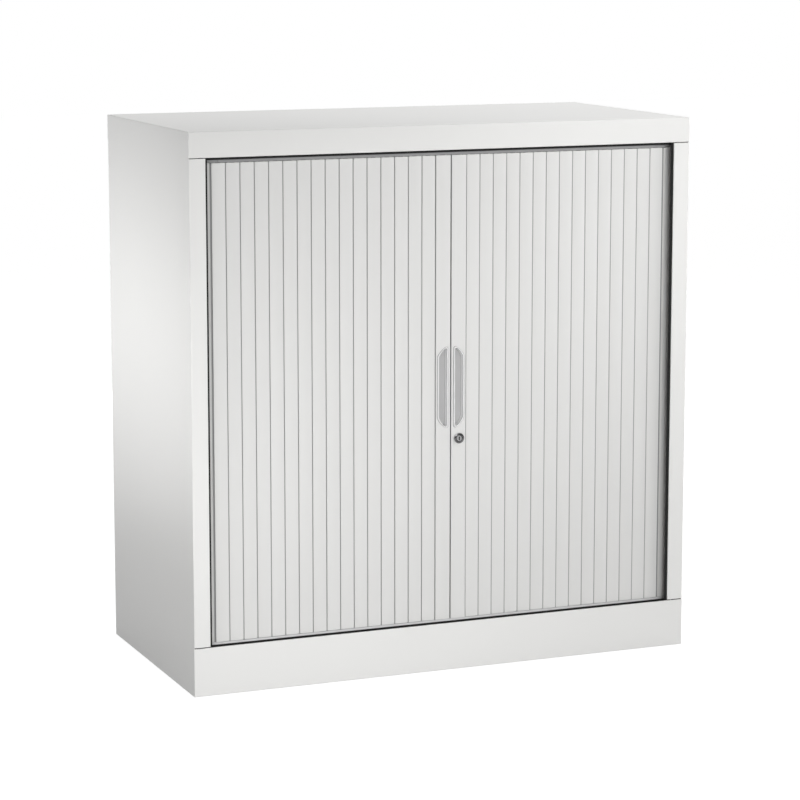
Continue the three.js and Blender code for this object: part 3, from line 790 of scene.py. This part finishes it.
class Wire:
    """One output socket that can be added, subtracted and multiplied like a number."""

    def __init__(self, board, socket):
        self.board, self.socket = board, socket

    def sum(self, operation, first, second):
        return self.board.node("ShaderNodeMath", {"operation": operation}, [first, second])

    def __add__(self, other):
        return self.sum("ADD", self, other)

    def __sub__(self, other):
        return self.sum("SUBTRACT", self, other)

    def __rsub__(self, other):
        return self.sum("SUBTRACT", other, self)

    def __mul__(self, other):
        return self.sum("MULTIPLY", self, other)

    __radd__ = __add__
    __rmul__ = __mul__

    def largest(self, other):
        return self.sum("MAXIMUM", self, other)


print("numbers alone need no node:", 0.5 + 0.25)

# %% [markdown]
# Every other node comes from one method. It sets the node's settings first, because they decide
# which sockets the node has, and then gives each input a value or a link.

# %% Nodes


class Board:
    """A node tree, of a material or of the world."""

    def __init__(self, tree):
        self.tree = tree

    def node(self, kind, settings, inputs, output=0):
        made = self.tree.nodes.new(kind)
        for key, value in settings.items():
            if key == "stops":
                self.ramp(made, value)
            else:
                setattr(made, key, value)
        pairs = inputs.items() if isinstance(inputs, dict) else enumerate(inputs)
        for key, value in pairs:
            self.feed(made.inputs[key], value)
        return Wire(self, made.outputs[output])

    def ramp(self, made, stops):
        """Sets a colour ramp's stops, each a place and a colour."""
        elements = made.color_ramp.elements
        while len(elements) < len(stops):
            elements.new(1.0)
        for element, (place, colour) in zip(elements, stops):
            element.position, element.color = place, colour

    def feed(self, socket, value):
        if isinstance(value, Wire):
            self.tree.links.new(value.socket, socket)
        else:
            socket.default_value = value


print("a Board holds the nodes of one tree")

# %% [markdown]
# Each finish is one material with one Principled BSDF. Its patterns read Object coordinates, so
# they stay fixed to the piece and have a true size in metres.

# %% Finish


class Finish(Board):
    """A material with one Principled BSDF."""

    def __init__(self, name):
        self.material = bpy.data.materials.new(name)
        self.material.use_nodes = True
        super().__init__(self.material.node_tree)
        self.shader = self.tree.nodes["Principled BSDF"]
        self.place = self.node("ShaderNodeTexCoord", {}, {}, "Object")

    def noise(self, scale, stretch=(1, 1, 1), detail=3.0):
        """Noise with a feature size in metres of about one over the scale."""
        where = self.node("ShaderNodeMapping", {}, {"Vector": self.place, "Scale": stretch})
        return self.node("ShaderNodeTexNoise", {}, {"Vector": where, "Scale": scale,
                                                    "Detail": detail})

    def mix(self, factor, first, second):
        """A colour between two colours. The numbers are the Mix node's sockets for colours."""
        return self.node("ShaderNodeMix", {"data_type": "RGBA"},
                         {0: factor, 6: first, 7: second}, 2)

    def set(self, **values):
        """Feeds the shader's sockets by name, with spaces for the underscores."""
        for key, value in values.items():
            self.feed(self.shader.inputs[key.replace("_", " ")], value)
        return self

    def clouded(self, noise, dark, pale, rough, more):
        """Colour and roughness that follow one noise."""
        return self.set(Base_Color=self.mix(noise, dark, pale), Roughness=rough + noise * more)

    def relief(self, high, distance, strength):
        normal = self.node("ShaderNodeBump", {}, {"Strength": strength, "Distance": distance,
                                                  "Height": high})
        return self.set(Normal=normal)

    def coat(self, *pieces):
        """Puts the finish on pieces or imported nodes, in place of what they had."""
        for piece in pieces:
            piece.data.materials.clear()
            piece.data.materials.append(self.material)
        return self


def grey(level, warm=0.0):
    """A grey that is warmer, with less blue, or cooler when the second number is negative."""
    return (level, level * (1 - 0.15 * warm), level * (1 - warm), 1.0)


print("a warm grey:", np.round(grey(0.8, 0.02), 3).tolist())

# %% [markdown]
# White powder coat has a faint orange-peel skin: low bumps a millimetre or two apart, which
# break up reflections close by and vanish from a few steps away. Inside the cabinet the coat is
# a little darker and duller.

# %% Powder coat


def powder_coat(name, dark, pale, rough, cloud_scale):
    coat = Finish(name)
    coat.clouded(coat.noise(cloud_scale, detail=2.0), grey(dark, 0.02), grey(pale, 0.02),
                 rough, 0.08)
    return coat.relief(coat.noise(650, detail=2.0), 0.00012, 0.35)


powder_coat("white powder coat", 0.81, 0.84, 0.36, 3.0).coat(
    *steel, packed["back_panel"], packed["base_deck"])
powder_coat("inside powder coat", 0.74, 0.77, 0.42, 4.0).coat(
    *[packed[node] for node in ("left_liner", "right_liner", "shelf_1", "shelf_2")])
print("coated panels:", len(steel) + 6)

# %% [markdown]
# The slats are satin plastic. An extrusion comes out of its die with very fine lines along its
# length, so its noise is squeezed across the slat and stretched up it. Shade gathers between
# the slats, so what lies deep is painted darker: painted shade in the joints.

# %% Slat plastic


def slat_finish(name, painted_shade_depth, painted_shade_grey, facing=(0.0, 1.0, 0.0), face=face_y):
    """Satin white plastic. The depth behind the face is the dot product of the place and the
    direction straight into the slat. From the given depth on, the colour darkens within 0.9 mm
    to the given grey: painted shade in the joints."""
    made = Finish(name)
    lines = made.noise(1.0, stretch=(900, 900, 5), detail=2.0)
    tone = made.noise(1.0, stretch=(25, 25, 1.5), detail=1.0)
    white = made.mix(tone, grey(0.725, 0.02), grey(0.755, 0.015))
    inward = made.node("ShaderNodeVectorMath", {"operation": "DOT_PRODUCT"},
                       [made.place, facing], 1)
    depth = (inward - (face + painted_shade_depth) * MM) * (1 / (0.9 * MM))
    shade = made.node("ShaderNodeClamp", {}, {"Value": depth, "Min": 0.0, "Max": 1.0})
    made.set(Base_Color=made.mix(shade, white, grey(painted_shade_grey)), Roughness=0.34 + lines * 0.1)
    return made.relief(lines, 0.00004, 0.4)


# The deep parts of the slats, leads and corner strips darken to grey: painted shade in the joints.
slat_finish("satin slat plastic", crown + 0.5, 0.4).coat(
    *[piece for piece in plastic if "slat" in piece.name])
slat_finish("satin lead plastic", 0.45, 0.36).coat(
    *[piece for piece in plastic if "lead" in piece.name])
for name, side in both_sides:
    into = np.array([-side * math.sin(corner_angle), math.cos(corner_angle)])
    corner_face = float(into @ (bend_middle * [side, 1])) - corner_reach
    slat_finish(f"satin {name} corner plastic", crown + 0.1, 0.28, (*into, 0.0), corner_face).coat(
        *[piece for piece in plastic if piece.name == f"{name}_corner_strip"])
print("pieces of slat plastic:", len(plastic))

# %% [markdown]
# The tracks are a grey extrusion, worn a little by the glides. From in front the bottom ones
# show as a pale strip, and the top ones lie in the shade of the fascia, so that shade is painted
# into a darker second finish of the same plastic. The black seal behind them is painted shade,
# with a short nap that takes the shine off it.

# %% Track plastic with the top rails' painted shade, and the black seal
# The top rails' darker greys are painted shade from the fascia.
for level, dark, pale in (("bottom", 0.63, 0.67), ("top", 0.3, 0.34)):
    rail = Finish(f"{level} track plastic")
    rail.clouded(rail.noise(60), grey(dark, -0.01), grey(pale, -0.01), 0.5, 0.15)
    rail.relief(rail.noise(900, detail=2.0), 0.00005, 0.3)
    rail.coat(*[piece for piece in tracks if piece.name.startswith(level)])

# The seal's near-black is painted shade.
black = Finish("black seal")
nap = black.noise(1400)
black.clouded(nap, grey(0.012), grey(0.022), 0.75, 0.15).relief(nap, 0.0001, 0.5).coat(shade_seal)
print("track pieces:", len(tracks))

# %% [markdown]
# The pulls are moulded in light grey with a fine spark-eroded texture. A dark line of painted
# shade lies at the foot of the bead, the hollow's walls are painted lighter than the rim against
# the shade inside it, and the floor is darker than the walls. A colour ramp over the depth says
# so: it runs from 1.5 mm in front of the slat's face to 10.5 mm behind it.

# %% Pull plastic
moulded = Finish("light grey moulding")
grain = moulded.noise(1800, detail=2.0)
inward = moulded.node("ShaderNodeSeparateXYZ", {}, [moulded.place], 1)
level = moulded.node("ShaderNodeMapRange", {}, {
    "Value": inward, "From Min": (face_y - 1.5) * MM, "From Max": (face_y + 10.5) * MM})
# Ramp stops: the rim, a painted shade line at the bead's foot, walls painted light, then the
# darker floor.
stops = [(0.0, grey(0.78)), (0.038, grey(0.78)), (0.07, grey(0.26)), (0.11, grey(0.26)),
         (0.16, grey(0.84)), (0.62, grey(0.8)), (0.8, grey(0.49)), (1.0, grey(0.47))]
painted_shade_and_light = moulded.node("ShaderNodeValToRGB", {"stops": stops}, [level])
moulded.set(Base_Color=moulded.mix(grain * 0.12, painted_shade_and_light, grey(0.75)),
            Roughness=0.4 + grain * 0.12)
moulded.relief(grain, 0.00004, 0.5).coat(*pulls)
print("ramp stops:", len(stops))

# %% [markdown]
# Polished chrome over die-cast zinc: nearly a mirror, with very faint polishing marks. The hook
# behind it is only zinc plated, so it is rougher and has a cloudy, slightly yellow tone. The
# feet are black plastic, scuffed by the floor.

# %% Chrome, zinc and black plastic
chrome = Finish("polished chrome")
marks = chrome.noise(900, detail=2.0)
chrome.set(Base_Color=grey(0.62, -0.01), Metallic=1.0, Roughness=0.06 + marks * 0.05)
chrome.coat(lock_case, plug)

zinc = Finish("zinc plate").set(Metallic=1.0)
zinc.clouded(zinc.noise(160, detail=4.0), grey(0.5, 0.06), grey(0.62, 0.02), 0.32, 0.15)
zinc.coat(packed["lock_hook"])

foot = Finish("black foot moulding")
scuff = foot.noise(220, detail=4.0)
foot.clouded(scuff, grey(0.02), grey(0.045), 0.5, 0.2).relief(scuff, 0.00008, 0.4)
foot.coat(*[packed[node] for node in ("front_left_foot", "front_right_foot",
                                      "rear_left_foot", "rear_right_foot")])
print("finishes:", len(bpy.data.materials))

# %% [markdown]
# The new pieces fall into groups by the record's material slots, and each slot's name and count is
# printed. The imported nodes have theirs already.

# %% Material slots
for pieces, slot_name in ((steel, "case_paint"), (plastic, "slat_plastic"),
                          (tracks, "track_plastic"), (pulls, "handle_plastic"),
                          ([lock_case, plug], "lock_chrome")):
    print(slot_name, len(pieces))

# %% [markdown]
# ## Motion
#
# When a leaf opens, its slats gather behind the stile, where the real ones would turn the
# corner. Here each strip on a leaf only gets a mesh of its own, and its points are read. It
# comes after every change to the meshes.

# %% Strips on the leaves
narrowing = [piece for piece in plastic if "leaf" in piece]
for piece in narrowing:
    points = np.empty(3 * len(piece.data.vertices), np.float32)
    piece.data.vertices.foreach_get("co", points)
    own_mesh(piece)
print("strips that narrow:", len(narrowing))

# %% [markdown]
# ## Light
#
# A white cabinet shows its form only through gentle changes of light. Twelve soft lamps make
# them. Four strong ones give the plain level: low right, overhead, low front and behind. The
# others are weak and stand close, most with a grid in front that narrows the beam, and each lays
# one soft patch on the left side or the leaves. None shows to the camera or in gloss.

# %% Lamps


def area_lamp(name, place, target, size, spread, power):
    """A soft lamp. A spread under 180 degrees is a grid in front of it, which narrows its beam."""
    lamp = bpy.data.lights.new(name, "AREA")
    lamp.shape, lamp.size, lamp.size_y = "RECTANGLE", size[0], size[1]
    lamp.energy, lamp.spread = power, math.radians(spread)
    holder = add_object(name, lamp)
    holder.location = place
    aim = Vector(target) - Vector(place)
    holder.rotation_euler = aim.to_track_quat("-Z", "Y").to_euler()
    holder.visible_camera = holder.visible_glossy = False


heart, big = (0.0, -0.1, 0.55), (1.0, 1.0)
lamps = {
    "low right": ((3.18, -1.16, 0.35), heart, big, 180, 32.2),
    "overhead right": ((1.35, 0.49, 3.63), heart, big, 180, 41.6),
    "low front": ((-0.2, -2.35, 0.34), heart, big, 180, 22.5),
    "near left low": ((-0.8, -1.1, 0.25), heart, big, 180, 2.7),
    "side near": ((-1.25, 0.0, 0.72), heart, big, 180, 0.24),
    "side grid": ((-1.5, 0.05, 0.78), (-0.5, 0.05, 0.72), (1.2, 0.3), 75, 0.83),
    "side low grid": ((-1.3, 0.05, 0.55), (-0.5, 0.05, 0.42), (1.2, 0.2), 60, 0.31),
    "side close grid": ((-1.0, 0.1, 0.72), (-0.5, 0.1, 0.7), (1.0, 0.3), 110, 0.5),
    "side back": ((-1.3, 0.6, 0.8), (-0.5, 0.3, 0.7), (0.8, 0.4), 110, 0.55),
    "front left grid": ((-0.9, -1.4, 0.25), (-0.2, -0.25, 0.25), (0.8, 0.4), 90, 0.68),
    "front right grid": ((0.8, -1.3, 1.3), (0.35, -0.25, 0.85), (0.6, 0.5), 90, 1.53),
    "behind": ((0.9, 3.0, 0.5), heart, big, 180, 36.0),
}
for name, settings in lamps.items():
    area_lamp(name, *settings)
print("lamps:", len(lamps))

# %% [markdown]
# The world is the white room round the cabinet. The camera and reflections see it white, and as
# light on the object it is much weaker, so that the lamps can shape it. Light Path tells the
# rays apart.

# %% World
world_light, room_white = 0.3, 1.0


def seen_or_mirrored(board):
    """One for a ray from the camera, from gloss or through glass, and nought for all others."""
    camera_ray, gloss_ray, glass_ray = [
        board.node("ShaderNodeLightPath", {}, {}, f"Is {kind} Ray")
        for kind in ("Camera", "Glossy", "Transmission")]
    return camera_ray.largest(gloss_ray).largest(glass_ray)


world = bpy.data.worlds.new("studio")
scene.world = world
world.use_nodes = True
room = Board(world.node_tree)
background = room.tree.nodes["Background"]
room.feed(background.inputs["Color"], grey(1.0))
room.feed(background.inputs["Strength"], room.node("ShaderNodeMapRange", {}, {
    "Value": seen_or_mirrored(room), "To Min": world_light, "To Max": room_white}))
print("nodes in the world:", len(room.tree.nodes))

# %% [markdown]
# The floor is a plain sheet. It glows for the camera and for reflections alone, which lifts it
# to the white of the background while the cabinet's shadow stays.

# %% Floor
floor_glow = 0.88
bpy.ops.mesh.primitive_plane_add(size=30, location=(0, 0, 0))
floor = bpy.context.object
floor.name = "studio_floor"
ground = Finish("studio floor")
ground.set(Base_Color=grey(0.3), Roughness=0.9, Specular_IOR_Level=0.1,
           Emission_Color=grey(1.0), Emission_Strength=seen_or_mirrored(ground) * floor_glow)
ground.coat(floor)
print("floor:", floor.dimensions.x, "m across")

# %% [markdown]
# In a white room polished chrome turns white and loses its shape. A photographer stands dark
# cards just outside the picture for it to reflect. These are grey and seen by reflections alone,
# so they take no light from the cabinet. The upper left is left open for a bright edge on the
# lock's rim, and one white card on the floor lightens the face of its plug.

# %% One card


def card(name, corners, level):
    """One flat four-cornered card that only reflections see."""
    mesh = bpy.data.meshes.new(name)
    mesh.from_pydata(corners, [], [[0, 1, 2, 3]])
    piece = add_object(name, mesh)
    Finish(name).set(Base_Color=grey(level), Roughness=0.95).coat(piece)
    for ray in ("camera", "diffuse", "shadow", "transmission", "volume_scatter"):
        setattr(piece, f"visible_{ray}", False)


def upright(start, end, high):
    return [(*start, 0.02), (*end, 0.02), (*end, high), (*start, high)]


def lying(x0, x1, y0, y1, high=0.02):
    return [(x0, y0, high), (x1, y0, high), (x1, y1, high), (x0, y1, high)]


print("corners of a lying card:", len(lying(0, 1, 0, 1)))

# %% [markdown]
# Four cards stand round the cabinet, and four lie on the floor.

# %% Cards for the chrome
cards = {
    "left_card": (upright((-3.0, 2.2), (-3.0, -3.5), 1.0), 0.2),
    "front_left_card": (upright((-3.0, -3.5), (0.2, -3.5), 1.2), 0.2),
    "front_card": (upright((0.2, -3.5), (3.0, -3.5), 3.4), 0.12),
    "right_card": (upright((3.0, -3.5), (3.0, 1.2), 3.4), 0.12),
    "floor_card": (lying(-3.0, 3.0, -3.5, -0.42), 0.2),
    "left_floor_card": (lying(-3.0, -0.75, -0.42, 1.2), 0.16),
    "rear_floor_card": (lying(-3.0, -1.7, 1.2, 2.2), 0.1),
    "plug_card": (lying(0.4, 1.5, -3.4, -1.7, 0.03), 1.0),
}
for name, (corners, level) in cards.items():
    card(name, corners, level)
print("cards:", len(cards))

# %% [markdown]
# ## Camera
#
# A long lens stands in front and to the left, a little above the cabinet, and looks slightly
# down. Its focal length is written in pixels of an 800 pixel frame, as it was fitted. The frame
# is shifted down by a twentieth, which keeps the upright lines a little straighter.

# %% Camera
frame_pixels, focal_pixels, sensor = 800, 2765, 36
yaw, pitch_down = math.radians(22.45), math.radians(8.93)
camera = bpy.data.cameras.new("camera")
camera.sensor_width = sensor
camera.lens = sensor * focal_pixels / frame_pixels
camera.shift_y = -0.05
camera.clip_end = 60
eye = add_object("camera", camera)
look = Vector((math.sin(yaw) * math.cos(pitch_down), math.cos(yaw) * math.cos(pitch_down),
               -math.sin(pitch_down)))
eye.location = (-2.019, -4.905, 1.390)
eye.rotation_euler = look.to_track_quat("-Z", "Y").to_euler()
scene.camera = eye
scene.view_settings.view_transform = "Standard"
print("lens:", round(camera.lens, 1), "mm")
